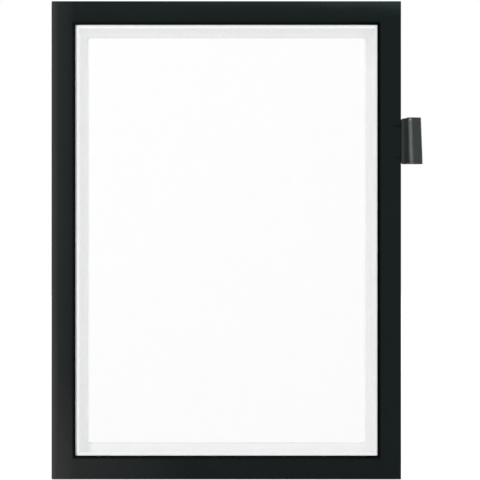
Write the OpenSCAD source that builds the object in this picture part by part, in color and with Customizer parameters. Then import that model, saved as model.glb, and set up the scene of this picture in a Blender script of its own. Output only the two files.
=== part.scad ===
// Wall-mounted document frame for one sheet of A4 paper. Two film leaves carry magnet strips that
// hold each other shut. A tape along the left edge hinges the front leaf, whose window is open so
// that the sheet can be written on, and an elastic loop on the right edge holds a pen.
// X runs right, Y runs back into the wall and Z runs up. The origin is the centre of the frame on
// the plane of the wall.

/* [Sheet] */
// Width of the paper sheet
sheet_w = 210; // [148:1:297]
// Height of the paper sheet
sheet_h = 297; // [210:1:420]
// Thickness of the paper sheet
sheet_t = 0.1; // [0.08:0.01:0.3]
// Gap between the sheet's edges and the magnet strips round it
sheet_clearance = 0.5; // [0.2:0.1:2]

/* [Magnet strips] */
// Width of a magnet strip
magnet_w = 12.5; // [8:0.5:20]
// Thickness of a magnet strip
magnet_t = 0.7; // [0.4:0.1:1.5]
// Gap between the ends of neighbouring magnet strips
magnet_joint_gap = 0.3; // [0.1:0.1:1]
// Gap between the rear strips and the front strips when the frame is shut
leaf_gap = 0.05; // [0.02:0.01:0.3]

/* [Films] */
// Thickness of the clear back film
back_film_t = 0.4; // [0.2:0.1:1]
// Thickness of the clear window film
window_film_t = 0.3; // [0.2:0.1:1]
// Thickness of the black border film
border_film_t = 0.2; // [0.1:0.05:0.5]
// Radius of the outer corners of both leaves
corner_r = 0.5; // [0.2:0.1:3]
// How far the black border covers the edges of the sheet
sheet_overlap = 3; // [1:0.5:8]
// Radius of the inner corners of the black border
border_corner_r = 0.4; // [0.2:0.1:3]
// Width of clear film that shows inside the border at the sides
window_lip_side = 8.2; // [3:0.1:20]
// Width of clear film that shows inside the border at the top and bottom
window_lip_end = 8.9; // [3:0.1:20]
// Radius of the corners of the open window
window_corner_r = 1.5; // [1:0.5:10]

/* [Mounting tape] */
// Width of a mounting tape strip
tape_w = 10; // [5:0.5:20]
// Thickness of a mounting tape strip
tape_t = 0.5; // [0.3:0.1:1.5]
// Distance from the tape strips to the edge of the film or of the hinge tape
tape_margin = 2; // [1:0.5:6]
// Gap between the ends of neighbouring tape strips
tape_joint_gap = 3; // [1:0.5:10]

/* [Hinge tape] */
// Thickness of the hinge tape
hinge_t = 0.15; // [0.08:0.01:0.25]
// Width of hinge tape on the front of the border film
hinge_front_lap = 4; // [2:0.5:10]
// Width of hinge tape on the back of the back film
hinge_rear_lap = 6; // [3:0.5:12]
// Distance from the ends of the hinge tape to the top and bottom edges
hinge_end_inset = 0.6; // [0.5:0.1:5]
// Gap between the two halves of the hinge tape at its fold line
fold_gap = 0.05; // [0.02:0.01:0.1]

/* [Pen loop tab] */
// Distance from the top edge of the frame down to the middle of the pen loop
loop_drop = 94.3; // [40:0.1:160]
// Distance from the strap's edges in to the edges of the tab's outer end
tongue_inset = 0.5; // [0.2:0.1:3]
// Distance from those edges in to the edges of the tab's part between the leaves
tab_shoulder = 4.2; // [3.2:0.1:7]
// How far the middle of that part lies below the middle of the loop
tab_drop = 1.1; // [0:0.1:3]
// Thickness of the tab
tab_t = 0.5; // [0.3:0.1:0.6]
// Thickness of the adhesive between the tab and the back film
tab_glue_t = 0.1; // [0.05:0.05:0.2]
// Gap between the tab and the magnet strips above and below it
tab_clearance = 0.6; // [0.3:0.1:2]
// Gap between the tab's inner end and the inner edge of the magnet strips
tab_end_gap = 1.5; // [0.5:0.5:4]
// Distance from the tab's edges in to its adhesive
tab_glue_inset = 1; // [0.5:0.5:3]
// Distance from the frame's edge to the line where the tab flexes
flex_offset = 0.2; // [0.1:0.1:0.5]

/* [Pen loop strap] */
// Height of the strap
strap_h = 31.4; // [22:0.1:60]
// Thickness of the strap
strap_t = 0.7; // [0.4:0.1:0.9]
// Distance from the frame's edge to the cut ends of the strap
strap_start = 1; // [0.8:0.1:3]
// Length of strap that is sewn to the tab
strap_lap = 3.5; // [2.5:0.1:8]
// How far the loop reaches out beyond the sewn ends
loop_reach = 10.1; // [8:0.1:20]
// How far the crest leans out beyond the sewn ends
crest_lean = 1.8; // [0.5:0.1:4]
// How far the crest stands in front of the sewn ends
crest_rise = 7.7; // [6:0.1:14]
// Depth of the flat outer side of the loop
outer_side = 5.4; // [4.8:0.1:6]
// Radius of the bend where the loop leaves the sewn ends
foot_bend_r = 0.8; // [0.6:0.1:1.2]
// Radius of the bend at the crest
crest_bend_r = 1.3; // [0.8:0.1:2]
// Radius of the front bend of the outer side
shoulder_bend_r = 2.2; // [1:0.1:2.6]
// Radius of the rear bend of the outer side
heel_bend_r = 2.4; // [1:0.1:2.6]

/* [Stitching] */
// Distance from the cut ends of the strap to the row of stitches
stitch_inset = 2.2; // [1:0.1:3]
// Length of one stitch
stitch_l = 2.1; // [1:0.1:2.6]
// Distance from one stitch to the next
stitch_pitch = 2.8; // [2.7:0.1:5]
// Width of the sewing thread
thread_w = 0.35; // [0.2:0.05:0.6]
// How far the thread stands out of the strap
thread_proud = 0.12; // [0.05:0.01:0.15]
// Distance from the strap's edges to the first and last stitch
stitch_end_inset = 1.5; // [0.5:0.1:4]

/* [Hidden] */

// Smoothness of the round corners, and the number of steps in each bend of the strap
$fn = 48;
bend_steps = 8;

film_colour = "#dfe4e4";
border_colour = "#1f2223";
magnet_colour = "#3a322d";
tape_colour = "#c9cdc8";
hinge_colour = "#2f3133";
paper_colour = "#fbfbfa";
strap_colour = "#3c3e40";
tab_colour = "#26282a";
thread_colour = "#2c2d2f";

// The frame is the sheet with a clearance and a magnet strip along each edge
frame_w = sheet_w + 2 * (sheet_clearance + magnet_w);
frame_h = sheet_h + 2 * (sheet_clearance + magnet_w);
half_w = frame_w / 2;
half_h = frame_h / 2;
border_w = magnet_w + sheet_clearance + sheet_overlap;

// Depths in front of the wall at which each layer starts
back_film_depth = tape_t;
rear_leaf_depth = back_film_depth + back_film_t;
front_magnet_depth = rear_leaf_depth + magnet_t + leaf_gap;
window_film_depth = front_magnet_depth + magnet_t;
border_film_depth = window_film_depth + window_film_t;
front_depth = border_film_depth + border_film_t;
fold_depth = (back_film_depth + front_depth) / 2;

// The side magnet strips fill the height that the top and bottom strips leave
side_magnet_top = half_h - magnet_w - magnet_joint_gap;

// The mounting tape keeps clear of the hinge tape on the left
tape_left = -half_w + hinge_rear_lap + tape_margin;
tape_right = half_w - tape_margin;
tape_top = half_h - tape_margin;
side_tape_top = tape_top - tape_w - tape_joint_gap;

// The tab is a little shorter than the strap outside the frame, and shorter again between the leaves
tongue_h = strap_h - 2 * tongue_inset;
tab_h = tongue_h - 2 * tab_shoulder;

// Places of the pen loop
loop_z = half_h - loop_drop;
tab_z = loop_z - tab_drop;
flex_x = half_w + flex_offset;
tab_depth = rear_leaf_depth + tab_glue_t;
tab_front_depth = tab_depth + tab_t;
tab_inner_x = half_w - magnet_w + tab_end_gap;
strap_start_x = half_w + strap_start;
strap_foot_x = strap_start_x + strap_lap;
front_layer_y = -(tab_front_depth + strap_t / 2);
rear_layer_y = -(tab_depth - strap_t / 2);
outer_side_x = strap_foot_x + loop_reach - strap_t / 2;

// Corners of the strap's centre line seen from above, from the front end round to the rear end,
// and the radius of the bend at each corner between the two ends
strap_corners = [
    [strap_start_x, front_layer_y],
    [strap_foot_x, front_layer_y],
    [strap_foot_x + crest_lean, front_layer_y - crest_rise],
    [outer_side_x, rear_layer_y - outer_side],
    [outer_side_x, rear_layer_y],
    [strap_start_x, rear_layer_y]
];
strap_bend_radii = [foot_bend_r, crest_bend_r, shoulder_bend_r, heel_bend_r];

stitch_x = strap_start_x + stitch_inset;
stitch_count = floor((strap_h - 2 * stitch_end_inset + stitch_pitch - stitch_l) / stitch_pitch);
stitch_row_h = (stitch_count - 1) * stitch_pitch + stitch_l;

// Extrudes an outline in the frame's front view, from a depth in front of the wall forwards
module layer(depth, thickness)
    translate([0, -depth, 0])
        rotate([90, 0, 0])
            linear_extrude(height = thickness)
                children();

// Rectangle with round corners, centred
module rounded_rectangle(w, h, r) {
    square([w - 2 * r, h], center = true);
    square([w, h - 2 * r], center = true);
    for (x = [-1, 1], y = [-1, 1])
        translate([x * (w / 2 - r), y * (h / 2 - r)])
            circle(r = r);
}

// Rectangle given by its left, bottom, right and top
module span(left, bottom, right, top)
    translate([left, bottom])
        square([right - left, top - bottom]);

module leaf_outline()
    rounded_rectangle(frame_w, frame_h, corner_r);

// Full-width magnet strip at the top (side 1) or the bottom (side -1) of a leaf
module end_magnet(depth, side)
    color(magnet_colour)
        layer(depth, magnet_t)
            intersection() {
                leaf_outline();
                translate([0, side * (half_h - magnet_w / 2)])
                    square([frame_w, magnet_w], center = true);
            }

// Magnet strip at the right (side 1) or the left (side -1) of a leaf, between two heights
module side_magnet(depth, side, low, high)
    color(magnet_colour)
        layer(depth, magnet_t)
            translate([side * (half_w - magnet_w / 2), (low + high) / 2])
                square([magnet_w, high - low], center = true);

module tape_strip(left, bottom, right, top)
    color(tape_colour)
        layer(0, tape_t)
            span(left, bottom, right, top);

// L-shaped half of the hinge tape: a lap on one face of the frame and half of its left edge
module hinge_half(face_depth, outer_depth, fold_side_depth, lap)
    color(hinge_colour)
        translate([-half_w, 0, -half_h + hinge_end_inset])
            linear_extrude(height = frame_h - 2 * hinge_end_inset)
                polygon([
                    [-hinge_t, -fold_side_depth],
                    [-hinge_t, -outer_depth],
                    [lap, -outer_depth],
                    [lap, -face_depth],
                    [0, -face_depth],
                    [0, -fold_side_depth]
                ]);

module back_panel()
    color(film_colour)
        layer(back_film_depth, back_film_t)
            leaf_outline();

module insert_sheet()
    color(paper_colour)
        layer(rear_leaf_depth, sheet_t)
            square([sheet_w, sheet_h], center = true);

module hinge_tape_rear()
    hinge_half(back_film_depth, back_film_depth - hinge_t, fold_depth - fold_gap / 2, hinge_rear_lap);

module hinge_tape_front()
    hinge_half(front_depth, front_depth + hinge_t, fold_depth + fold_gap / 2, hinge_front_lap);

module window_film()
    color(film_colour)
        layer(window_film_depth, window_film_t)
            difference() {
                leaf_outline();
                rounded_rectangle(
                    frame_w - 2 * (border_w + window_lip_side),
                    frame_h - 2 * (border_w + window_lip_end),
                    window_corner_r
                );
            }

module border_film()
    color(border_colour)
        layer(border_film_depth, border_film_t)
            difference() {
                leaf_outline();
                rounded_rectangle(frame_w - 2 * border_w, frame_h - 2 * border_w, border_corner_r);
            }

module pen_loop_adhesive()
    color(tape_colour)
        layer(rear_leaf_depth, tab_glue_t)
            span(
                tab_inner_x + tab_glue_inset, tab_z - tab_h / 2 + tab_glue_inset,
                half_w - tab_glue_inset, tab_z + tab_h / 2 - tab_glue_inset
            );

module pen_loop_anchor()
    color(tab_colour)
        layer(tab_depth, tab_t)
            span(tab_inner_x, tab_z - tab_h / 2, flex_x, tab_z + tab_h / 2);

module pen_loop_tongue()
    color(tab_colour)
        layer(tab_depth, tab_t)
            span(flex_x + fold_gap, loop_z - tongue_h / 2, strap_foot_x, loop_z + tongue_h / 2);

function unit(v) = v / norm(v);
function turned(v, angle) = [
    v.x * cos(angle) - v.y * sin(angle),
    v.x * sin(angle) + v.y * cos(angle)
];
function left_of(v) = [-v.y, v.x];

// Points of one bend, each with its direction of travel: an arc of radius r that meets the lines
// from a to b and from b to c where they leave it
function bend(a, b, c, r) =
    let (
        into = unit(b - a),
        out = unit(c - b),
        turn = atan2(cross(into, out), into * out),
        start = b - into * r * tan(abs(turn) / 2),
        to_centre = sign(turn) * r * left_of(into)
    )
    [for (i = [0 : bend_steps])
        let (angle = turn * i / bend_steps)
        [start + to_centre - turned(to_centre, angle), turned(into, angle)]];

// Centre line through the corners with a bend at each, with its direction of travel at each point
function bent_line(corners, radii) = [
    [corners[0], unit(corners[1] - corners[0])],
    for (i = [0 : len(radii) - 1])
        each bend(corners[i], corners[i + 1], corners[i + 2], radii[i]),
    [corners[len(corners) - 1], unit(corners[len(corners) - 1] - corners[len(corners) - 2])]
];

// Closed outline of a band of the given thickness about a centre line
function band(line, thickness) = concat(
    [for (p = line) p[0] + left_of(p[1]) * thickness / 2],
    [for (i = [len(line) - 1 : -1 : 0]) line[i][0] - left_of(line[i][1]) * thickness / 2]
);

module pen_loop_strap()
    color(strap_colour)
        translate([0, 0, loop_z - strap_h / 2])
            linear_extrude(height = strap_h)
                polygon(band(bent_line(strap_corners, strap_bend_radii), strap_t));

// One row of stitches on the front of the strap's sewn end and one on the back
module pen_loop_stitching()
    color(thread_colour)
        for (depth = [tab_front_depth + strap_t, tab_depth - strap_t - thread_proud])
            for (i = [0 : stitch_count - 1])
                layer(depth, thread_proud)
                    translate([stitch_x - thread_w / 2, loop_z - stitch_row_h / 2 + i * stitch_pitch])
                        square([thread_w, stitch_l]);

module rear_magnet_top() end_magnet(rear_leaf_depth, 1);
module rear_magnet_bottom() end_magnet(rear_leaf_depth, -1);
module rear_magnet_left() side_magnet(rear_leaf_depth, -1, -side_magnet_top, side_magnet_top);
module rear_magnet_right_upper()
    side_magnet(rear_leaf_depth, 1, tab_z + tab_h / 2 + tab_clearance, side_magnet_top);
module rear_magnet_right_lower()
    side_magnet(rear_leaf_depth, 1, -side_magnet_top, tab_z - tab_h / 2 - tab_clearance);

module front_magnet_top() end_magnet(front_magnet_depth, 1);
module front_magnet_bottom() end_magnet(front_magnet_depth, -1);
module front_magnet_left() side_magnet(front_magnet_depth, -1, -side_magnet_top, side_magnet_top);
module front_magnet_right() side_magnet(front_magnet_depth, 1, -side_magnet_top, side_magnet_top);

module tape_strip_top() tape_strip(tape_left, tape_top - tape_w, tape_right, tape_top);
module tape_strip_bottom() tape_strip(tape_left, -tape_top, tape_right, tape_w - tape_top);
module tape_strip_left() tape_strip(tape_left, -side_tape_top, tape_left + tape_w, side_tape_top);
module tape_strip_right() tape_strip(tape_right - tape_w, -side_tape_top, tape_right, side_tape_top);

back_panel();
rear_magnet_top();
rear_magnet_bottom();
rear_magnet_left();
rear_magnet_right_upper();
rear_magnet_right_lower();
tape_strip_top();
tape_strip_bottom();
tape_strip_left();
tape_strip_right();
insert_sheet();
hinge_tape_rear();
hinge_tape_front();
front_magnet_top();
front_magnet_bottom();
front_magnet_left();
front_magnet_right();
window_film();
border_film();
pen_loop_adhesive();
pen_loop_anchor();
pen_loop_tongue();
pen_loop_strap();
pen_loop_stitching();
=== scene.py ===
import bpy
import numpy as np
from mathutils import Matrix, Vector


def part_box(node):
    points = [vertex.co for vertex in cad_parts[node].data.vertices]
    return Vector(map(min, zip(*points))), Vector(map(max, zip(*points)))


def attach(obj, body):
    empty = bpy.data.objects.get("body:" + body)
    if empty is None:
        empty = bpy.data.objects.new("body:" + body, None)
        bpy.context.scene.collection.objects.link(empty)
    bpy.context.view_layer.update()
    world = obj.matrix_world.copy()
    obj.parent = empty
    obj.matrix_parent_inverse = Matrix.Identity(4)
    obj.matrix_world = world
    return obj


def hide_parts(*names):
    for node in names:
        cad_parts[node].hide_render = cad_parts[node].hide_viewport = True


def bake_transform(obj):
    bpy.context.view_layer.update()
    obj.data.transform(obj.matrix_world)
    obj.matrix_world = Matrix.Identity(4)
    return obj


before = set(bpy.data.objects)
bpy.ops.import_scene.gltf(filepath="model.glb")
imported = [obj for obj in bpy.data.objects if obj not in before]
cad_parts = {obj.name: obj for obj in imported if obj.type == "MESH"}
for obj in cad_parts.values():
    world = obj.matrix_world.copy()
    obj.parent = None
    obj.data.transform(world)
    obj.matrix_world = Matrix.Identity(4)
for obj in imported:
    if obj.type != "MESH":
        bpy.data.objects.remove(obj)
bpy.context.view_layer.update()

# Camera. The photograph looks at the frame straight from the front and from far off. 324.3 mm of
# the border's plane fill the picture, whose middle is 9.2 mm to the right of the frame's middle
# and 0.15 mm above it.
MM = 0.001
PICTURE_SPAN = 324.3
PICTURE_MIDDLE_X = 9.2
PICTURE_MIDDLE_Z = 0.15
LENS = 200
SENSOR = 36
border_face_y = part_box("border_film")[0].y
camera_data = bpy.data.cameras.new("camera")
camera_data.lens = LENS
camera_data.sensor_width = SENSOR
camera = bpy.data.objects.new("camera", camera_data)
camera_y = border_face_y - PICTURE_SPAN * MM * LENS / SENSOR
camera.location = (PICTURE_MIDDLE_X * MM, camera_y, PICTURE_MIDDLE_Z * MM)
camera.rotation_euler = (np.pi / 2, 0, 0)
bpy.context.scene.collection.objects.link(camera)
bpy.context.scene.camera = camera
bpy.context.scene.view_settings.view_transform = "Standard"


# Surroundings: plain white all round, as in the photograph. They show white to the camera, in
# gloss and through clear film, and light matt surfaces more weakly, so that the lamps shape them.
class Signal:
    """One socket of a shader tree. + - * / and ** on it add Math nodes, and node() any other node."""

    def __init__(self, tree, socket=None):
        self.tree = tree
        self.socket = socket

    def node(self, kind, settings, sockets, output=0):
        """Adds a shader node of that kind, gives it its settings, then its sockets' values or links."""
        made = self.tree.nodes.new("ShaderNode" + kind)
        for key, value in settings.items():
            setattr(made, key, value)
        for key, value in sockets.items():
            if isinstance(value, Signal):
                self.tree.links.new(value.socket, made.inputs[key])
            else:
                made.inputs[key].default_value = value
        return Signal(self.tree, made.outputs[output] if made.outputs else None)

    def math(self, operation, *others):
        """The result of that operation on this socket and on the other values, if it takes any."""
        return self.node("Math", {"operation": operation}, dict(enumerate((self, *others))))

    def axis(self, name):
        """The X, Y or Z of this place."""
        return self.node("SeparateXYZ", {}, {"Vector": self}, name)

    def ramp(self, start, end):
        """0 where this socket is start and 1 where it is end, even between them and held beyond."""
        return ((self - start) / (end - start)).math("MAXIMUM", 0).math("MINIMUM", 1)

    def __add__(self, other):
        return self.math("ADD", other)

    def __sub__(self, other):
        return self.math("SUBTRACT", other)

    def __rsub__(self, other):
        return self.node("Math", {"operation": "SUBTRACT"}, {0: other, 1: self})

    def __mul__(self, other):
        return self.math("MULTIPLY", other)

    def __truediv__(self, other):
        return self.math("DIVIDE", other)

    def __pow__(self, other):
        return self.math("POWER", other)

    __radd__ = __add__
    __rmul__ = __mul__


def seen_share(paint):
    """1 for rays that the camera sees, straight, in gloss or through clear film, and 0 for others."""
    kinds = ("Is Camera Ray", "Is Glossy Ray", "Is Transmission Ray")
    straight, gloss, through = [paint.node("LightPath", {}, {}, kind) for kind in kinds]
    return straight.math("MAXIMUM", gloss).math("MAXIMUM", through)


AMBIENT = 0.359
WHITE = (1, 1, 1, 1)
world = bpy.data.worlds.new("white_surroundings")
world.use_nodes = True
world.node_tree.nodes.clear()
paint = Signal(world.node_tree)
strength = seen_share(paint) * (1 - AMBIENT) + AMBIENT
backdrop = paint.node("Background", {}, {"Color": WHITE, "Strength": strength})
paint.node("OutputWorld", {}, {"Surface": backdrop})
bpy.context.scene.world = world


# Floor: a plain white surface just under the frame's lower edge. The camera sees it white, apart
# from the soft shadow of the frame.
FLOOR_GAP = 0.2
FLOOR_SIZE = 12.0
FLOOR_GREY = (0.8, 0.8, 0.8, 1)
FLOOR_GLOW = 0.57
floor_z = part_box("back_panel")[0].z - FLOOR_GAP * MM
floor_mesh = bpy.data.meshes.new("floor")
floor_corners = np.array([(-1, -1, 0), (1, -1, 0), (1, 1, 0), (-1, 1, 0)]) * FLOOR_SIZE / 2
floor_mesh.from_pydata(floor_corners + (0, 0, floor_z), [], [(0, 1, 2, 3)])
floor = bpy.data.objects.new("floor", floor_mesh)
bpy.context.scene.collection.objects.link(floor)
floor_white = bpy.data.materials.new("floor_white")
floor_white.use_nodes = True
floor_white.node_tree.nodes.clear()
paint = Signal(floor_white.node_tree)
matt = paint.node("BsdfDiffuse", {}, {"Color": FLOOR_GREY})
glow = paint.node("Emission", {}, {"Color": WHITE, "Strength": seen_share(paint) * FLOOR_GLOW})
paint.node("OutputMaterial", {}, {"Surface": paint.node("AddShader", {}, {0: matt, 1: glow})})
floor_mesh.materials.append(floor_white)


# Lamps: a soft box on the left, a little above the frame's middle, and a larger, weaker one on the
# right. The left one gives the strap its bright fold, as in the photograph. Two more light the
# frame's back.
LAMP_REACH = 7.0


def soft_box(name, azimuth, elevation, size, level):
    """Square area lamp, LAMP_REACH from the frame's middle and turned towards it. The azimuth is
    to the right of the front, in degrees. It lights a white sheet that faces it to that level,
    which takes level times pi squared times the squared distance in watts."""
    side, rise = np.radians(azimuth), np.radians(elevation)
    lamp = bpy.data.lights.new(name, "AREA")
    lamp.size = size
    lamp.energy = level * (np.pi * LAMP_REACH) ** 2
    holder = bpy.data.objects.new(name, lamp)
    towards = np.array([np.sin(side) * np.cos(rise), -np.cos(side) * np.cos(rise), np.sin(rise)])
    holder.location = towards * LAMP_REACH
    holder.rotation_euler = (np.pi / 2 - rise, 0, side)
    bpy.context.scene.collection.objects.link(holder)


soft_box("key_lamp", -33, 5, 1.1, 0.56)
soft_box("fill_lamp", 34, 12, 2.2, 0.214)
soft_box("back_lamp_left", -140, 14, 2.2, 0.34)
soft_box("back_lamp_right", 140, 14, 2.2, 0.34)


# Back panel: one sheet of clear, slightly hazy film, cut with softly rolled edges and corners. It
# carries the rear magnet strips on its front and the mounting tape on its back.
EDGE_POINTS = 5
EDGE_REACH_SHARE = 2.5
CORNER_POINTS = 7
SHARP_ANGLE = 35


def quarter(radius, count):
    """Places that an arc of 90 degrees passes, from its start: radius times 1 less the cosine of
    even angles."""
    return radius * (1 - np.cos(np.linspace(0, np.pi / 2, count)))


def rolled(distance, radius):
    """How far a face falls back, or a round corner draws the outline in, at a distance from the
    edge: the radius less the height of a quarter circle."""
    inside = np.clip(radius - distance, 0, radius)
    return radius - np.sqrt(radius**2 - inside**2)


def grid_lines(low, high, roll, step):
    """Places of grid lines from edge to edge: close together over the rolled edges, each a quarter
    circle of radius roll, then even and about a step apart."""
    edge = np.append(quarter(roll, EDGE_POINTS), EDGE_REACH_SHARE * roll)
    count = max(1, round((high - low - 2 * edge[-1]) / step))
    inside = np.linspace(low + edge[-1], high - edge[-1], count + 1)[1:-1]
    return np.concatenate([low + edge, inside, (high - edge)[::-1]])


def stacked(*coordinates):
    """Points of a grid from their coordinates, each of them a number, a row, a column or a grid."""
    return np.stack(np.broadcast_arrays(*coordinates), -1)


def shell(name, front, rear, ring=False, along=None):
    """Object whose mesh is a closed thin solid. Its two faces are grids of points in millimetres,
    rows by columns, or several such grids. A rim joins the faces where the grids end, and a ring's
    last row joins its first. along holds each grid point's two coordinates on the surface, in
    metres. The faces are turned outwards if the volume comes out negative."""
    place = np.arange(front[..., 0].size).reshape(front.shape[:-1])
    behind = place.size
    if ring:
        place = np.concatenate([place, place[:1]])
    corners = [place[..., :-1, :-1], place[..., :-1, 1:], place[..., 1:, 1:], place[..., 1:, :-1]]
    face = np.stack(corners, -1).reshape(-1, 4)
    edges = [
        (place[..., :-1, -1], place[..., 1:, -1]),
        (place[..., 1:, 0], place[..., :-1, 0]),
    ]
    if not ring:
        edges.append((place[..., 0, :-1], place[..., 0, 1:]))
        edges.append((place[..., -1, 1:], place[..., -1, :-1]))
    rim = [np.stack([b, a, a + behind, b + behind], -1).reshape(-1, 4) for a, b in edges]
    faces = np.concatenate([face, face[:, ::-1] + behind, *rim])
    points = np.concatenate([front.reshape(-1, 3), rear.reshape(-1, 3)]) * MM
    corner = points[faces]
    halves = np.cross(corner[:, 1], corner[:, 2]) + np.cross(corner[:, 2], corner[:, 3])
    if (corner[:, 0] * halves).sum() < 0:
        faces = faces[:, ::-1]
    mesh = bpy.data.meshes.new(name)
    mesh.from_pydata(points, [], faces)
    if along is not None:
        both = np.concatenate([along.reshape(-1, 2)] * 2)
        mesh.uv_layers.new(name="surface").uv.foreach_set("vector", both[faces].ravel())
    mesh.shade_smooth()
    mesh.set_sharp_from_angle(angle=np.radians(SHARP_ANGLE))
    made = bpy.data.objects.new(name, mesh)
    bpy.context.scene.collection.objects.link(made)
    return made


def faces_at(x, z, front_depth, rear_depth):
    """Front and rear grid of points in millimetres, from the places across and up and the depths
    in front of the wall."""
    return stacked(x, -front_depth, z), stacked(x, -rear_depth, z)


def plate(name, left, right, bottom, top, rear, front, roll, step, corner=0, bulge=None):
    """Closed rectangular plate between those places in millimetres. Both faces roll back at the
    edges, and round corners draw the ends of the rows in. bulge(x, z) moves both faces forward."""
    across = grid_lines(left, right, roll, step)
    up = grid_lines(bottom, top, roll, step)
    if corner:
        arc = quarter(corner, CORNER_POINTS)
        up = np.unique(np.concatenate([up, bottom + arc, top - arc]).round(4))
    to_end = np.minimum(up - bottom, top - up)[:, None]
    middle = (left + right) / 2
    x = middle + (across - middle) * (1 - rolled(to_end, corner) / (right - middle))
    z = up[:, None]
    edge = np.minimum(np.minimum(across - left, right - across), to_end)
    moved = bulge(x, z) if bulge else 0
    fall = rolled(edge, roll)
    return shell(name, *faces_at(x, z, front - fall + moved, rear + fall + moved))


def sizes_of(node):
    """Left, right, bottom, top, rear depth and front depth of a CAD node, in millimetres."""
    low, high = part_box(node)
    return tuple(v / MM for v in (low.x, high.x, low.z, high.z, -high.y, -low.y))


def finish(name, mix):
    """Material of one Principled shader, with the socket values and links that mix(paint) returns."""
    material = bpy.data.materials.new(name)
    material.use_nodes = True
    material.node_tree.nodes.clear()
    paint = Signal(material.node_tree)
    shader = paint.node("BsdfPrincipled", {}, mix(paint))
    paint.node("OutputMaterial", {}, {"Surface": shader})
    return material


def speckle(paint, place, scale, detail=2.0, stretch=(1, 1, 1)):
    """Noise from 0 to 1 of that many grains a metre, stretched along the axes."""
    fitted = paint.node("Mapping", {}, {"Vector": place, "Scale": stretch})
    return paint.node("TexNoise", {}, {"Vector": fitted, "Scale": scale, "Detail": detail})


def blended(paint, share, first, second):
    """Colour that goes from the first to the second as share goes from 0 to 1."""
    return paint.node("Mix", {"data_type": "RGBA"}, {0: share, 6: first, 7: second}, 2)


def raised(paint, height, distance):
    """Normal of a surface that rises by distance, in metres, where height is 1."""
    return paint.node("Bump", {}, {"Height": height, "Distance": distance, "Strength": 1.0})


FILM_ROLL = 0.06
FILM_CORNER = 0.5
FILM_STEP = 24
GLUE_LINE = 0.015
FILM_ALPHA = 0.065


def clear_film(paint):
    """Hazy film: nearly clear when seen squarely and milkier at a slant, with fine wipe marks."""
    place = paint.node("TexCoord", {}, {}, "Object")
    haze = speckle(paint, place, 22.0, 3.0)
    wipes = speckle(paint, place, 60.0, 3.0, (1.0, 1.0, 14.0))
    slant = paint.node("LayerWeight", {}, {"Blend": 0.5}, "Facing")
    return {
        "Base Color": blended(paint, haze, (0.70, 0.72, 0.72, 1), (0.80, 0.815, 0.81, 1)),
        "Roughness": 0.10 + wipes * 0.16,
        "Alpha": FILM_ALPHA + (haze - 0.5) * 0.02 + (wipes - 0.5) * 0.015 + slant**3 * 0.5,
        "Normal": raised(paint, speckle(paint, place, 260.0), 0.00001),
        "IOR": 1.49,
    }


clear_film_finish = finish("clear_film", clear_film)
left, right, bottom, top, rear, front = sizes_of("back_panel")
front -= GLUE_LINE
back_panel = plate(
    "back_film", left, right, bottom, top, rear, front, FILM_ROLL, FILM_STEP, FILM_CORNER
)
back_panel.data.materials.append(clear_film_finish)
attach(back_panel, "back")
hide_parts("back_panel")


# Magnet strips: bonded ferrite strip, brown-black and matt, slit to width with fine lines along
# it. Five are glued to the back panel and four to the window film, and they hold the leaves shut.
MAGNET_ROLL = 0.12
MAGNET_STEP = 20


def magnet_rubber(upright):
    """Finish with lines along a strip, which runs up the frame or across it, and iron-grey specks."""

    def mix(paint):
        place = paint.node("TexCoord", {}, {}, "Object")
        lines = speckle(paint, place, 900.0, 3.0, (1, 1, 0.03) if upright else (0.03, 1, 1))
        specks = speckle(paint, place, 2600.0, 2.0) ** 3
        cloud = speckle(paint, place, 45.0, 2.0)
        tone = cloud * 0.45 + lines * 0.3 + specks * 0.5
        rough = 0.62 + lines * 0.2 - specks * 0.2
        return {
            "Base Color": blended(paint, tone, (0.010, 0.0088, 0.008, 1), (0.040, 0.034, 0.030, 1)),
            "Roughness": rough,
            "Normal": raised(paint, lines * 0.8 + specks * 0.5, 0.00002),
            "Specular IOR Level": 0.22,
        }

    return mix


magnet_finishes = {
    False: finish("magnet_rubber_across", magnet_rubber(False)),
    True: finish("magnet_rubber_upright", magnet_rubber(True)),
}
MAGNETS = {
    "rear_magnet_top": "back",
    "rear_magnet_bottom": "back",
    "rear_magnet_left": "back",
    "rear_magnet_right_upper": "back",
    "rear_magnet_right_lower": "back",
    "front_magnet_top": "cover",
    "front_magnet_bottom": "cover",
    "front_magnet_left": "cover",
    "front_magnet_right": "cover",
}
for node, body in MAGNETS.items():
    left, right, bottom, top, rear, front = sizes_of(node)
    strip = plate(f"{node}_strip", left, right, bottom, top, rear, front, MAGNET_ROLL, MAGNET_STEP)
    strip.data.materials.append(magnet_finishes[top - bottom > right - left])
    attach(strip, body)
    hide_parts(node)


# Mounting tape: double-sided foam tape along the four edges of the back panel's rear, milky
# white, with the edges pressed out a little where they were cut.
TAPE_ROLL = 0.14
TAPE_STEP = 12


def foam_tape(paint):
    """Milky foam, cloudy and with fine pores that show a little darker."""
    place = paint.node("TexCoord", {}, {}, "Object")
    cell = paint.node("TexVoronoi", {}, {"Vector": place, "Scale": 1500.0})
    cloud = speckle(paint, place, 120.0, 3.0)
    wall = (cell * 2.2).math("MINIMUM", 1)
    tone = cloud * 0.5 + wall * 0.5
    return {
        "Base Color": blended(paint, tone, (0.48, 0.50, 0.47, 1), (0.70, 0.72, 0.68, 1)),
        "Roughness": 0.42 + cloud * 0.22,
        "Normal": raised(paint, wall + cloud * 0.4, 0.00004),
        "Specular IOR Level": 0.4,
    }


foam_tape_finish = finish("foam_tape", foam_tape)
for side in ("top", "bottom", "left", "right"):
    left, right, bottom, top, rear, front = sizes_of(f"tape_strip_{side}")
    strip = plate(
        f"mounting_tape_{side}", left, right, bottom, top, rear, front, TAPE_ROLL, TAPE_STEP
    )
    strip.data.materials.append(foam_tape_finish)
    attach(strip, "back")
    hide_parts(f"tape_strip_{side}")


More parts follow.
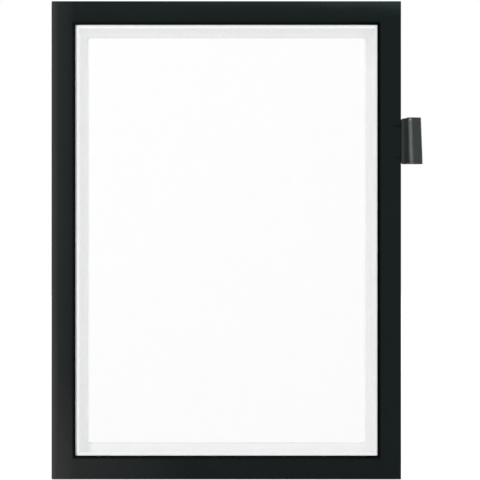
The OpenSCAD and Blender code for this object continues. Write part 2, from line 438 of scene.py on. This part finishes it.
# Pen loop glue pad: a thin double-sided pad of the same foam, stuck to the back panel in the gap
# between the magnet strips. It holds the inner part of the pen loop's tab.
PAD_ROLL = 0.03
PAD_CORNER = 0.4
PAD_STEP = 3
left, right, bottom, top, rear, front = sizes_of("pen_loop_adhesive")
glue_pad = plate(
    "pen_loop_glue_pad", left, right, bottom, top, rear, front, PAD_ROLL, PAD_STEP, PAD_CORNER
)
glue_pad.data.materials.append(foam_tape_finish)
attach(glue_pad, "back")
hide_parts("pen_loop_adhesive")


# Pen loop tab: a black plastic tongue. Its inner part is stuck to the back panel between the
# magnet strips, its outer part holds the strap, and it has a groove by the frame's edge.
TAB_ROLL = 0.08
ANCHOR_CORNER = 1.5
TONGUE_CORNER = 0.5
TONGUE_GAP = 0.04
TONGUE_DROP = 0.5
TONGUE_SLANT = 0.35
SLANT_FROM_END = (2.0, 4.5)
GROOVE_DEPTH = 0.09
GROOVE_HALF_W = 0.22
COLUMNS_BY_GROOVE = np.array([-0.4, -0.25, -0.12, -0.01, 0, 0.1, 0.2, 0.3, 0.4, 0.5, 0.7])
ANCHOR_COLUMNS = 12
ANCHOR_COLUMNS_INSET = 2.0
TONGUE_COLUMNS = 6
TONGUE_COLUMNS_INSET = 0.7
ROW_ROLL_SHARE = 0.004
ROW_STEP_SHARE = 0.03
anchor_left, anchor_right, anchor_bottom, anchor_top, tab_rear, tab_front = sizes_of("pen_loop_anchor")
_, tongue_right, tongue_bottom, tongue_top, _, _ = sizes_of("pen_loop_tongue")
tongue_left = sizes_of("border_film")[1] + TONGUE_GAP


def rises(value, low, high):
    """0 below low and 1 above high, with a smooth step between."""
    share = np.clip((value - low) / (high - low), 0, 1)
    return share**2 * (3 - 2 * share)


def bump_at(value, place, half_width):
    """Bell curve: 1 at the place, falling with the square of the distance over the half width."""
    return np.exp(-(((value - place) / half_width) ** 2))


def tab_ends(x):
    """Lower and upper edge of the tab at each place across: the anchor's, then the tongue's, with
    the anchor's inner corners and the tongue's outer corners rounded. The tongue's upper edge
    slants down a little towards the frame, as the strap's does."""
    from_end = tongue_right - x
    on_anchor = x < tongue_left
    trim = np.where(on_anchor, rolled(x - anchor_left, ANCHOR_CORNER), rolled(from_end, TONGUE_CORNER))
    drop = TONGUE_DROP + TONGUE_SLANT * rises(from_end, *SLANT_FROM_END)
    low = np.where(on_anchor, anchor_bottom, tongue_bottom) + trim
    high = np.where(on_anchor, anchor_top, tongue_top - drop) - trim
    return low, high


def tab_plastic(paint):
    """Black moulded plastic with a fine grain that follows the sheet."""
    place = paint.node("UVMap", {"uv_map": "surface"}, {})
    grain = speckle(paint, place, 2400.0)
    cloud = speckle(paint, place, 90.0)
    return {
        "Base Color": blended(paint, cloud, (0.012, 0.013, 0.014, 1), (0.020, 0.021, 0.022, 1)),
        "Roughness": 0.38 + cloud * 0.12,
        "Normal": raised(paint, grain, 0.000012),
        "Specular IOR Level": 0.3,
    }


by_groove = tongue_left + COLUMNS_BY_GROOVE
tab_columns = [
    anchor_left + quarter(ANCHOR_CORNER, CORNER_POINTS),
    np.linspace(anchor_left + ANCHOR_COLUMNS_INSET, by_groove[0], ANCHOR_COLUMNS)[:-1],
    by_groove,
    np.linspace(by_groove[-1], tongue_right - TONGUE_COLUMNS_INSET, TONGUE_COLUMNS)[1:],
    tongue_right - quarter(TONGUE_CORNER, CORNER_POINTS)[::-1],
]
tab_x = np.concatenate(tab_columns)
tab_low, tab_high = tab_ends(tab_x)
tab_rows = grid_lines(0, 1, ROW_ROLL_SHARE, ROW_STEP_SHARE)[:, None]
tab_z = tab_low + (tab_high - tab_low) * tab_rows
tab_edge = np.minimum(tab_z - tab_low, tab_high - tab_z)
tab_edge = np.minimum(tab_edge, np.minimum(tab_x - anchor_left, tongue_right - tab_x))
tab_fall = rolled(tab_edge, TAB_ROLL)
groove = GROOVE_DEPTH * bump_at(tab_x, anchor_right, GROOVE_HALF_W)
pen_tab = shell(
    "pen_loop_tab",
    *faces_at(tab_x, tab_z, tab_front - tab_fall - groove, tab_rear + tab_fall),
    along=stacked(tab_x, tab_z) * MM,
)
pen_tab.data.materials.append(finish("tab_plastic", tab_plastic))
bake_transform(pen_tab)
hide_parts("pen_loop_anchor", "pen_loop_tongue")


# Pen loop strap: dark grey woven elastic, ribbed along its length, with a firm selvage at its
# upper and lower edge. It is bent to a loop, with a pressed fold in front, and sewn to the tab.
STRAP_T = 0.7
STRAP_CORNERS = [
    (118.3, -1.85), (121.5, -1.85), (122.9, -8.2), (126.0, -9.06),
    (132.1, -6.05), (132.1, -0.65), (118.3, -0.65),
]
STRAP_BENDS = [0.5, 2.0, 0.9, 2.2, 2.4]
STRAP_STEP = 0.35
BEND_POINTS = 14


def bent_line(corners, radii, step):
    """Points and headings, as complex numbers, along straight legs joined by round bends, and the
    distance covered at each point. A bend leaves its leg the radius times tan(half the turn)
    before the corner, and turns evenly about a centre that lies square to the leg."""
    corner = np.array(corners) @ (1, 1j)
    heading = np.diff(corner) / abs(np.diff(corner))
    start = corner[0]
    places, headings = [], []
    for end, radius, into, out in zip(corner[1:], radii, heading, heading[1:]):
        turn = np.angle(out / into)
        entry = end - into * radius * np.tan(abs(turn) / 2)
        centre = entry + 1j * np.sign(turn) * radius * into
        leg = np.linspace(0, 1, max(1, round(abs(entry - start) / step)), endpoint=False)
        swing = np.exp(1j * turn * np.linspace(0, 1, BEND_POINTS, endpoint=False))
        places += [start + (entry - start) * leg, centre + (entry - centre) * swing]
        headings += [np.full(leg.shape, into), into * swing]
        start = centre + (entry - centre) * out / into
    leg = np.linspace(0, 1, max(2, round(abs(corner[-1] - start) / step)))
    places.append(start + (corner[-1] - start) * leg)
    headings.append(np.full(leg.shape, heading[-1]))
    place = np.concatenate(places)
    covered = np.concatenate([[0], np.cumsum(abs(np.diff(place)))])
    return place, np.concatenate(headings), covered


strap_line, strap_heading, strap_s = [
    row[:, None] for row in bent_line(STRAP_CORNERS, STRAP_BENDS, STRAP_STEP)
]
to_rear_end = strap_s[-1] - strap_s
_, _, strap_bottom, strap_top, _, _ = sizes_of("pen_loop_strap")
strap_w = strap_top - strap_bottom

# The strap's thickness: ribs as a rectified sine wave, a groove by each selvage and rolled edges.
RIB_PITCH = 0.7
RIB_RISE = 0.06
RIB_ROUNDNESS = 0.7
COLUMNS_PER_RIB = 5
SELVAGE_W = 1.5
SELVAGE_FADE = 0.3
SELVAGE_GROOVE = 0.10
SELVAGE_GROOVE_HALF_W = 0.16
SELVAGE_ROLL = 0.3
SELVAGE_THINNING = 0.9
edge_lines = grid_lines(0, strap_w, SELVAGE_ROLL, strap_w)
rib_lines = np.arange(SELVAGE_W, strap_w - SELVAGE_W, RIB_PITCH / COLUMNS_PER_RIB)
strap_v = np.unique(np.concatenate([edge_lines, rib_lines]).round(3))
to_edge = np.minimum(strap_v, strap_w - strap_v)
rib = abs(np.sin(np.pi * (strap_v - SELVAGE_W) / RIB_PITCH)) ** RIB_ROUNDNESS
ribbed = rises(to_edge, SELVAGE_W - SELVAGE_FADE, SELVAGE_W + SELVAGE_FADE)
selvage_groove = SELVAGE_GROOVE * bump_at(to_edge, SELVAGE_W, SELVAGE_GROOVE_HALF_W)
edge_fall = SELVAGE_THINNING * rolled(to_edge, SELVAGE_ROLL)
half_t = STRAP_T / 2 + ribbed * (rib - 1) * RIB_RISE - selvage_groove - edge_fall

# Its height: the upper edge drops smoothly towards both sewn ends, and once more at their cuts.
LOWER_DROP = 0.1
UPPER_DROP = 0.12
FOOT_DROP = 0.45
FOOT_L = 6.0
CUT_DROP = 0.3
CUT_DROP_FROM_END = (-0.5, 2.2)
past_feet = rises(strap_s, 0, FOOT_L) * rises(to_rear_end, 0, FOOT_L)
at_cut = 1 - rises(np.minimum(strap_s, to_rear_end), *CUT_DROP_FROM_END)
row_low = strap_bottom - LOWER_DROP
row_high = strap_top - UPPER_DROP - FOOT_DROP * (1 - past_feet) - CUT_DROP * at_cut
strap_z = row_low + (row_high - row_low) * strap_v / strap_w

# Its seams: bell-shaped dents in the outer face, deeper by a cosine wave at the needle holes.
SEAM_INSET = 2.45
SEAM_HALF_W = 0.55
SEAM_DENT = 0.10
NEEDLE_DENT = 0.05
STITCH_L = 2.1
STITCH_PITCH = 2.8
STITCH_COUNT = 10
first_z = (strap_bottom + strap_top) / 2 - ((STITCH_COUNT - 1) * STITCH_PITCH + STITCH_L) / 2
hole_z = first_z - (STITCH_PITCH - STITCH_L) / 2
seam = bump_at(strap_s, SEAM_INSET, SEAM_HALF_W) + bump_at(to_rear_end, SEAM_INSET, SEAM_HALF_W)
dent = SEAM_DENT + NEEDLE_DENT * np.cos(2 * np.pi * (strap_z - hole_z) / STITCH_PITCH)

# Its faces, half the thickness off the bent line. Between the ends, the upper part leans inwards.
STRAP_SHIFT = 0.15
LEAN = 1.15
LEAN_FROM_FRONT_END = (3.0, 13.0)
LEAN_FROM_REAR_END = (3.0, 12.0)
between = rises(strap_s, *LEAN_FROM_FRONT_END) * rises(to_rear_end, *LEAN_FROM_REAR_END)
moved_x = STRAP_SHIFT - LEAN * between * (strap_v / strap_w)
outwards = -1j * strap_heading
outer = strap_line + outwards * (half_t - seam * dent) + moved_x
inner = strap_line - outwards * half_t + moved_x

WEFT_PITCH = 0.42
# Where the strap's colour is darkened as painted shade: the crease beside the front seam.
CREASE_AT = 2.9
CREASE_REACH = 1.6


def strap_weave(paint):
    """Satin yarn round the loop, crossed by a fine weft that shifts by half from rib to rib. In
    the crease beside the front seam it is rougher, and its colour is darkened as painted shade."""
    place = paint.node("UVMap", {"uv_map": "surface"}, {})
    round_loop = place.axis("X")
    column = (place.axis("Y") / (RIB_PITCH * MM)).math("FLOOR")
    weft = (round_loop * (2 * np.pi / (WEFT_PITCH * MM)) + column * np.pi).math("SINE")
    yarn = speckle(paint, place, 700.0, 3.0, (0.25, 1, 1))
    cloud = speckle(paint, place, 60.0)
    # crease darkens the colour here as painted shade, and raises the roughness.
    crease = (round_loop / MM - CREASE_AT).math("ABSOLUTE").ramp(CREASE_REACH, CREASE_REACH - 1)
    tone = (yarn * 0.5 + cloud * 0.3 + weft * 0.1 + 0.1) * (1 - crease * 0.7)
    return {
        "Base Color": blended(paint, tone, (0.007, 0.0078, 0.008, 1), (0.021, 0.023, 0.0225, 1)),
        "Roughness": 0.25 + yarn * 0.14 + crease * 0.35,
        "Normal": raised(paint, weft * 0.5 + yarn * 0.6, 0.000012),
        "Specular IOR Level": 0.36,
        "Specular Tint": (0.88, 1.0, 0.965, 1),
        "Sheen Weight": 0.04,
        "Sheen Roughness": 0.35,
    }


strap = shell(
    "pen_loop_band",
    stacked(outer.real, outer.imag, strap_z),
    stacked(inner.real, inner.imag, strap_z),
    along=stacked(strap_s, strap_v) * MM,
)
strap.data.materials.append(finish("strap_weave", strap_weave))
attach(strap, "pen_loop")
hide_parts("pen_loop_strap")


# Stitching: two rows of ten stitches in twisted black thread, one on each face, that sew the two
# ends of the strap to the tab. Each stitch comes out of its needle hole and dives into the next.
THREAD_R = 0.21
PLY_RISE = 0.14
PLY_CRESTS = 5
STITCH_SINK = 0.24
STITCH_BOW = 0.17
STITCH_POINTS = 21
THREAD_POINTS = 9


def thread_black(paint):
    """Dark polyester thread with a fine sheen along its twist."""
    place = paint.node("TexCoord", {}, {}, "Object")
    fibre = speckle(paint, place, 3000.0)
    return {
        "Base Color": blended(paint, fibre, (0.006, 0.006, 0.0065, 1), (0.015, 0.015, 0.016, 1)),
        "Roughness": 0.42 + fibre * 0.2,
        "Normal": raised(paint, fibre, 0.00002),
        "Specular IOR Level": 0.2,
        "Sheen Weight": 0.03,
    }


front_face_y = STRAP_CORNERS[0][1] - STRAP_T / 2
rear_face_y = STRAP_CORNERS[-1][1] + STRAP_T / 2
stitch_rows = []
for face_y, outward in ((front_face_y, -1), (rear_face_y, 1)):
    stitch_rows += [(face_y, outward, first_z + i * STITCH_PITCH) for i in range(STITCH_COUNT)]
stitch_y, stitch_out, stitch_z = np.array(stitch_rows).T[:, :, None, None]
seam_x = STRAP_CORNERS[0][0] + SEAM_INSET + STRAP_SHIFT
run = np.linspace(0, 1, STITCH_POINTS)[:, None]
girth = np.linspace(0, np.pi, THREAD_POINTS)
ply = 1 + PLY_RISE * np.cos(2 * (girth - PLY_CRESTS * np.pi * run))
radius = THREAD_R * ply * np.sqrt(1 - (2 * run - 1) ** 4)
lift = STITCH_BOW * np.sin(np.pi * run) ** 0.6 - STITCH_SINK


def stitch_face(side):
    """Outer (1) or inner (-1) half of every stitch: a half circle of the thread's radius, which
    two plies make uneven and both ends take to nothing, carried along an arc that rises from the
    strap and goes back into it."""
    depth = stitch_y + stitch_out * (lift + side * radius * np.sin(girth))
    return stacked(seam_x - radius * np.cos(girth), depth, stitch_z + STITCH_L * run)


stitching = shell("pen_loop_stitches", stitch_face(1), stitch_face(-1))
stitching.data.materials.append(finish("thread_black", thread_black))
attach(stitching, "pen_loop")
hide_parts("pen_loop_stitching")


# Insert sheet: one sheet of white A4 paper, 80 g a square metre, that lies loose on the back panel
# between the magnet strips, with the slight waves that paper has.
PAPER_ROLL = 0.02
PAPER_STEP = 5
PAPER_LIFT = 0.35
WAVE_RISE = 0.030
left, right, bottom, top, rear, front = sizes_of("insert_sheet")
CURLS = ((right, bottom, 0.25, 18), (left, top, 0.15, 14))


def paper_waves(x, z):
    """Height of the waves: three crossing sine waves, and two corners that curl up, each by its
    rise, which falls off exponentially over its reach."""
    ripple = np.sin(x / 31 + z / 57) + np.sin(x / 47 - z / 39 + 1.3) + np.sin(z / 71 + 0.6)
    height = PAPER_LIFT + WAVE_RISE * ripple
    for corner_x, corner_z, rise, reach in CURLS:
        height = height + rise * np.exp(-np.hypot(x - corner_x, z - corner_z) / reach)
    return height


def white_paper(paint):
    """Uncoated paper: fine fibres and a faint cloud where it is denser."""
    place = paint.node("TexCoord", {}, {}, "Object")
    fibre = speckle(paint, place, 1800.0, 4.0, (1, 1, 0.4))
    cloud = speckle(paint, place, 160.0, 3.0)
    tone = fibre * 0.5 + cloud * 0.5
    return {
        "Base Color": blended(paint, tone, (0.902, 0.902, 0.902, 1), (0.932, 0.932, 0.932, 1)),
        "Roughness": 0.86 + cloud * 0.1,
        "Normal": raised(paint, fibre + cloud * 0.5, 0.000015),
        "Specular IOR Level": 0.2,
    }


paper = plate(
    "paper_sheet", left, right, bottom, top, rear, front, PAPER_ROLL, PAPER_STEP, bulge=paper_waves
)
paper.data.materials.append(finish("white_paper", white_paper))
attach(paper, "back")
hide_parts("insert_sheet")


# Window film: the clear front film, whose middle is cut out so that the sheet can be written on.
# It shows as a grey ring inside the black border, with rounded corners at the opening.
WINDOW_HALF_W = 93.8
WINDOW_HALF_H = 136.6
WINDOW_CORNER = 1.5
BORDER_HALF_W = 102.0
BORDER_HALF_H = 145.5
RING_CORNER_POINTS = 9
RING_WIDTH_STEP = 1.3
SIDE_ROLL_SHARE = 0.002
SIDE_STEP_SHARE_X = 0.03
SIDE_STEP_SHARE_Z = 0.0207


def round_outline(half_w, half_h, radius, side_x, side_z):
    """Points round a rectangle with round corners, anticlockwise from its lower left, on the
    quarter circles and at the given shares of each straight side."""
    arc = np.exp(1j * np.linspace(0, np.pi / 2, RING_CORNER_POINTS))
    inner = complex(half_w - radius, half_h - radius)
    parts = [
        -inner - radius * arc,
        side_x * inner.real - 1j * half_h,
        inner.conjugate() - 1j * radius * arc,
        half_w + 1j * side_z * inner.imag,
        inner + radius * arc,
        -side_x * inner.real + 1j * half_h,
        -inner.conjugate() + 1j * radius * arc,
        -half_w - 1j * side_z * inner.imag,
    ]
    return np.concatenate(parts)


def film_ring(name, opening, outline, rear, front, roll, extra_z=(), relief=None):
    """Closed ring of film between two outlines, each a half width, half height and corner radius.
    Its grid runs straight from the opening's outline to the outer one, also from the places that
    extra_z gives as shares of the upright sides. relief(x, z) moves only the front face."""
    side_x = grid_lines(-1, 1, SIDE_ROLL_SHARE, SIDE_STEP_SHARE_X)[1:-1]
    side_z = grid_lines(-1, 1, SIDE_ROLL_SHARE, SIDE_STEP_SHARE_Z)[1:-1]
    side_z = np.sort(np.append(side_z, extra_z))
    start = round_outline(*opening, side_x, side_z)[:, None]
    end = round_outline(*outline, side_x, side_z)[:, None]
    width = outline[0] - opening[0]
    across = grid_lines(0, width, roll, RING_WIDTH_STEP)
    points = start + (end - start) * across / width
    fall = rolled(np.minimum(across, width - across), roll)
    moved = relief(points.real, points.imag) if relief else 0
    grids = faces_at(points.real, points.imag, front - fall + moved, rear + fall)
    return shell(name, *grids, ring=True, along=stacked(across, points.imag) * MM)


CUT_EDGE_ALPHA = 0.075
CUT_EDGE_W = 0.9
CLEARER = 0.95
CLEARER_BAND = (2.5, 2.0)
MIST = 0.017
# Haze added along the ring's left, top and right sides, as painted shade.
LEFT_SHADE_HAZE = 0.118
RIGHT_SHADE_HAZE = 0.041
SHADE_HAZE_X = (90, 94)
TOP_SHADE_HAZE = 0.095
SHADE_HAZE_Z = (113, 141)


def window_clear(paint):
    """The clear film again, a little more opaque just inside the cut edge at the opening, and
    clearer beside the border, which paints a bright line there. It is hazier along the left side,
    the top and, more faintly, the right side, as painted shade that darkens the ring there."""
    from_cut = paint.node("UVMap", {"uv_map": "surface"}, {}).axis("X") / MM
    # A little more opaque just inside the cut edge at the opening, which gives a faint dark line there.
    cut_edge_line = from_cut.ramp(CUT_EDGE_W, 0) * CUT_EDGE_ALPHA
    place = paint.node("TexCoord", {}, {}, "Object")
    x = place.axis("X") / MM
    z = place.axis("Z") / MM
    beside = BORDER_HALF_W - x.math("ABSOLUTE")
    to_border = beside.math("MINIMUM", BORDER_HALF_H - z.math("ABSOLUTE"))
    # Clearer film beside the border: a painted bright line there, set against the shade that the border
    # casts on the paper.
    clearer = to_border.ramp(*CLEARER_BAND) * CLEARER
    # Painted shade: extra haze darkens the ring along its left side, its top and, more faintly, its
    # right side.
    left_shade_haze = x.ramp(-SHADE_HAZE_X[0], -SHADE_HAZE_X[1]) * LEFT_SHADE_HAZE
    right_shade_haze = x.ramp(*SHADE_HAZE_X) * RIGHT_SHADE_HAZE
    top_shade_haze = z.ramp(*SHADE_HAZE_Z) * TOP_SHADE_HAZE
    side_shade_haze = left_shade_haze.math("MAXIMUM", top_shade_haze) + right_shade_haze
    mixed = clear_film(paint)
    mixed["Alpha"] = (mixed["Alpha"] + side_shade_haze + MIST) * (1 - clearer) + cut_edge_line
    return mixed


left, right, bottom, top, rear, front = sizes_of("window_film")
window = film_ring(
    "window_ring",
    (WINDOW_HALF_W, WINDOW_HALF_H, WINDOW_CORNER),
    (right, top, FILM_CORNER),
    rear + GLUE_LINE,
    front - GLUE_LINE,
    FILM_ROLL,
)
window.data.materials.append(finish("window_clear", window_clear))
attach(window, "cover")
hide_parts("window_film")


# Border film: black satin film, laminated on the window film over the magnet strips. The edges of
# the strips and of the tab behind it show through faintly, and the tab's grooves carry painted shade.
BORDER_CORNER = 0.4
BORDER_ROLL = 0.05
FILM_WAVE = 0.010
STEP_FALL = 0.02
STEP_HALF_W = 0.6
TAB_LINES_Z = (77.1, 55.7)
TAB_ROWS = np.linspace(-1.6, 1.6, 9)
TAB_GROOVE = 0.07
TAB_GROOVE_HALF_W = 0.55
TAB_GROOVE_X = (109.0, 114.0)
TAB_GROOVE_FROM_EDGE = (0.1, 1.2)
_, film_right, _, film_top, film_rear, film_front = sizes_of("border_film")
strips_inner_x = sizes_of("front_magnet_right")[0]
strips_inner_z = sizes_of("front_magnet_top")[2]


def border_relief(x, z):
    """Height of the film's face in millimetres: slow waves, a fall beyond the magnet strips' inner
    edges, and a groove along the tab's upper and lower edge, which starts over the tab's inner
    part and ends by the film's edge."""
    waves = np.sin(x / 3.7 + z / 5.3) * np.sin(z / 6.1 - x / 9.2 + 0.8) + np.sin((x + 2 * z) / 8.3)
    inside_x = rises(strips_inner_x - abs(x), -STEP_HALF_W, STEP_HALF_W)
    inside_z = rises(strips_inner_z - abs(z), -STEP_HALF_W, STEP_HALF_W)
    at_tab = sum(bump_at(z, line_z, TAB_GROOVE_HALF_W) for line_z in TAB_LINES_Z)
    over_tab = rises(x, *TAB_GROOVE_X) * rises(film_right - x, *TAB_GROOVE_FROM_EDGE)
    fall = STEP_FALL * np.minimum(inside_x, inside_z) + TAB_GROOVE * at_tab * over_tab
    return FILM_WAVE * waves - fall


# A band along the inner edge that is darker.
INNER_EDGE_DARK_BAND = (2.6, 1.4)
# A pale bloom of painted sheen by the hinge and in the lower left corner.
HINGE_SHEEN_W = 14.5
CORNER_SHEEN_R = 95
CORNER_SHEEN_FLATNESS = 1.35
# A paler band along the top, most at the top edge and streaky towards the right.
TOP_BAND_W = 11
TOP_BAND_X = (2, 92)
RIM_X = (-68, -18)
# Painted shade over the tab's upper and lower edge.
TAB_SHADE_HALF_W = 1.3
TAB_SHADE_X = (112, 116)
RIGHT_SIDE_X = (82, 92)


def border_satin(paint):
    """Black satin film: a fine emboss and faint clouds of polish. A pale bloom of painted sheen is
    strongest by the hinge and in the lower left corner. It's paler along the top, most at the top
    edge and streaky towards the top right. It's darker along its inner edge, and over the tab's two
    edges, where that darkness is painted shade in the grooves. There a metallic share, whose
    reflection takes the black of the base colour, dims its gloss."""
    from_cut = paint.node("UVMap", {"uv_map": "surface"}, {}).axis("X") / MM
    # Darker in a band along the inner edge; a metallic share there dims the gloss.
    inner_edge_dark = from_cut.ramp(*INNER_EDGE_DARK_BAND)
    place = paint.node("TexCoord", {}, {}, "Object")
    emboss = speckle(paint, place, 1900.0, 2.0)
    polish = speckle(paint, place, 28.0, 4.0)
    streaks = speckle(paint, place, 70.0, 3.0, (0.35, 1, 1))
    x = place.axis("X") / MM
    z = place.axis("Z") / MM
    from_left = x + film_right
    by_hinge = from_left.ramp(HINGE_SHEEN_W, 0) ** 0.6
    from_corner = (from_left**2 + ((z + film_top) * CORNER_SHEEN_FLATNESS) ** 2) ** 0.5
    in_corner = from_corner.ramp(CORNER_SHEEN_R, 0)
    # Paler along the top, most at the top edge and streaky towards the top right.
    by_top = z.ramp(film_top - TOP_BAND_W, film_top)
    to_right = x.ramp(*TOP_BAND_X)
    rim = by_top**4 * x.ramp(*RIM_X) * (0.45 + to_right**4 * 0.5)
    top_band = by_top * (0.12 + to_right**2 * (streaks - 0.35).math("MAXIMUM", 0) * 2.4) + rim
    # Painted sheen: a pale bloom in the colour by the hinge and in the lower left corner, where the
    # satin film would catch the light.
    painted_sheen = by_hinge * 0.48 + in_corner * (0.52 + streaks * 0.2)
    film = blended(paint, polish, (0.0020, 0.0026, 0.0028, 1), (0.0036, 0.0044, 0.0047, 1))
    with_top_band = blended(paint, top_band.math("MINIMUM", 1), film, (0.0180, 0.0265, 0.0262, 1))
    with_painted_sheen = blended(paint, painted_sheen.math("MINIMUM", 1), with_top_band, (0.0285, 0.0270, 0.0272, 1))
    # Painted shade in the grooves over the tab's upper and lower edge; a metallic share there dims the
    # gloss.
    upper, lower = [(z - at).math("ABSOLUTE").ramp(TAB_SHADE_HALF_W, 0) for at in TAB_LINES_Z]
    line = upper.math("MAXIMUM", lower * 0.6) * x.ramp(*TAB_SHADE_X)
    dark = (line * 0.8).math("MAXIMUM", inner_edge_dark)
    return {
        "Base Color": blended(paint, dark, with_painted_sheen, (0.0002, 0.0003, 0.0003, 1)),
        "Metallic": dark * (0.5 + x.ramp(*RIGHT_SIDE_X) * 0.3),
        "Roughness": 0.36 + polish * 0.10,
        "Normal": raised(paint, emboss, 0.00002),
        "Specular IOR Level": 0.10,
        "Specular Tint": (0.72, 0.97, 1.0, 1),
    }


border = film_ring(
    "black_border",
    (BORDER_HALF_W, BORDER_HALF_H, BORDER_CORNER),
    (film_right, film_top, FILM_CORNER),
    film_rear,
    film_front,
    BORDER_ROLL,
    np.add.outer(TAB_LINES_Z, TAB_ROWS) / (film_top - FILM_CORNER),
    border_relief,
)
border.data.materials.append(finish("border_satin", border_satin))
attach(border, "cover")
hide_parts("border_film")


# Hinge tape: black tape folded round the left edge, with one lap on the front and one on the back.
# It joins the two leaves.
HINGE_T = 0.15
HINGE_BEND = 0.11
HINGE_STEP = 0.12
HINGE_ROWS = 81
# Where the tape is painted paler as sheen: by the fold, and towards the lower end.
FOLD_SHEEN_W = 4
LOWER_SHEEN_Z = (-50, -140)
_, front_right, bottom, top, _, hinge_front = sizes_of("hinge_tape_front")
hinge_left, rear_right, _, _, hinge_rear, _ = sizes_of("hinge_tape_rear")


def hinge_black(paint):
    """Smooth black tape with the faint lines of its weave along it. It's painted paler at the fold,
    as a sheen that fades towards the edges of its laps, and paler towards its lower end, as a
    painted sheen too."""
    surface = paint.node("UVMap", {"uv_map": "surface"}, {})
    place = paint.node("TexCoord", {}, {}, "Object")
    lines = speckle(paint, surface, 1400.0, 2.0, (1, 0.06, 1))
    cloud = speckle(paint, surface, 50.0, 3.0)
    # Painted sheen: paler at the fold, where the tape curves round the edge, and towards the lower end.
    fold_sheen = (place.axis("X") / MM).ramp(hinge_left + FOLD_SHEEN_W, hinge_left) ** 1.5
    lower_sheen = (place.axis("Z") / MM).ramp(*LOWER_SHEEN_Z)
    tone = fold_sheen * 0.85 + lines * 0.14 + cloud * 0.12 + lower_sheen * 0.35
    return {
        "Base Color": blended(paint, tone, (0.008, 0.008, 0.0088, 1), (0.036, 0.036, 0.0385, 1)),
        "Roughness": 0.36 + cloud * 0.12,
        "Normal": raised(paint, lines, 0.00001),
        "Specular IOR Level": 0.14,
    }


half = HINGE_T / 2
hinge_corners = [
    (rear_right, -hinge_rear - half),
    (hinge_left + half, -hinge_rear - half),
    (hinge_left + half, -hinge_front + half),
    (front_right, -hinge_front + half),
]
hinge_line, hinge_heading, hinge_s = bent_line(hinge_corners, [HINGE_BEND, HINGE_BEND], HINGE_STEP)
hinge_z = np.linspace(bottom, top, HINGE_ROWS)[:, None]
hinge_out = -1j * hinge_heading * half
hinge_faces = [hinge_line + hinge_out, hinge_line - hinge_out]
hinge_grids = [stacked(face.real, face.imag, hinge_z) for face in hinge_faces]
hinge = shell("hinge_tape_fold", *hinge_grids, along=stacked(hinge_s, hinge_z) * MM)
hinge.data.materials.append(finish("hinge_black", hinge_black))
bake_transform(hinge)
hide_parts("hinge_tape_rear", "hinge_tape_front")
